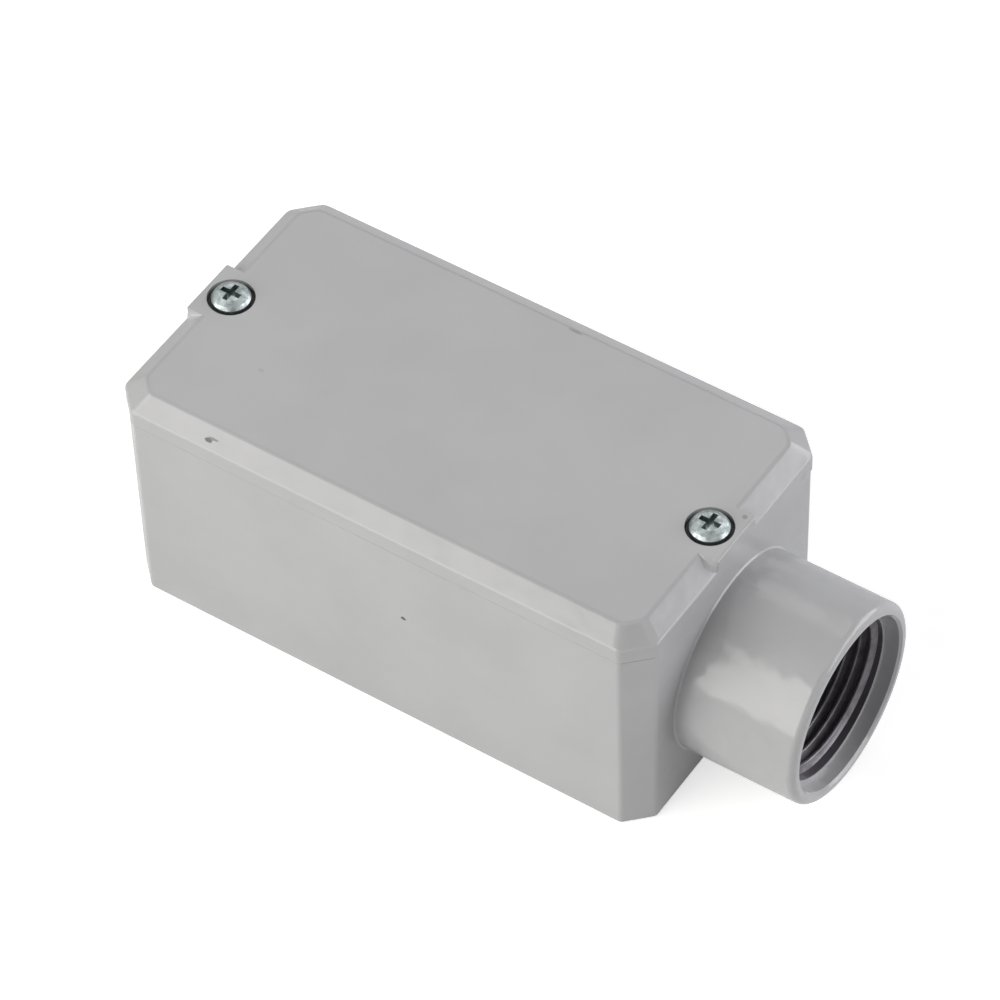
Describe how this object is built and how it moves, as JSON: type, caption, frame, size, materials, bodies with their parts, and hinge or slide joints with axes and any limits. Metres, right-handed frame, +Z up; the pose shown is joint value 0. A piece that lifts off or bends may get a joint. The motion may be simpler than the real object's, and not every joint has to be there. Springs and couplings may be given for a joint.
{
  "type": "conduit body",
  "caption": "Rectangular die-cast conduit body with a threaded hub on its end wall and a bevelled, gasketed cover held down by sealed screws.",
  "frame": {"origin": "middle of the housing's flat underside", "axes": "+X out of the threaded hub, along the box's length; +Y across; +Z up through the cover"},
  "size_m": [0.1443, 0.0642, 0.0554],
  "materials": {
    "grey_paint": "gloss light-grey paint over die-cast aluminium, bare dark aluminium where the thread is cut",
    "black_neoprene": "matt closed-cell neoprene sheet",
    "black_rubber": "matt black rubber",
    "zinc_plate": "bright zinc plate"
  },
  "bodies": {
    "housing": {"housing": "grey_paint"},
    "cover": {"cover": "grey_paint", "cover_gasket": "black_neoprene"},
    "hub_end_washer": {"hub_end_washer": "black_rubber"},
    "hub_end_screw": {"hub_end_screw": "zinc_plate"},
    "blank_end_washer": {"blank_end_washer": "black_rubber"},
    "blank_end_screw": {"blank_end_screw": "zinc_plate"}
  },
  "joints": [
    {"name": "cover_lift", "type": "slide", "parent": "housing", "child": "cover", "axis": [0, 0, 1], "range_m": [0, 0.03]},
    {"name": "hub_end_screw_rise", "type": "slide", "parent": "cover", "child": "hub_end_washer", "axis": [0, 0, 1], "range_m": [0, 0.0085]},
    {"name": "hub_end_screw_turn", "type": "hinge", "parent": "hub_end_washer", "child": "hub_end_screw", "pos_m": [0.0537, 0, 0.0532], "axis": [0, 0, 1], "range_deg": [0, 4320]},
    {"name": "blank_end_screw_rise", "type": "slide", "parent": "cover", "child": "blank_end_washer", "axis": [0, 0, 1], "range_m": [0, 0.0085]},
    {"name": "blank_end_screw_turn", "type": "hinge", "parent": "blank_end_washer", "child": "blank_end_screw", "pos_m": [-0.0537, 0, 0.0532], "axis": [0, 0, 1], "range_deg": [0, 4320]}
  ]
}
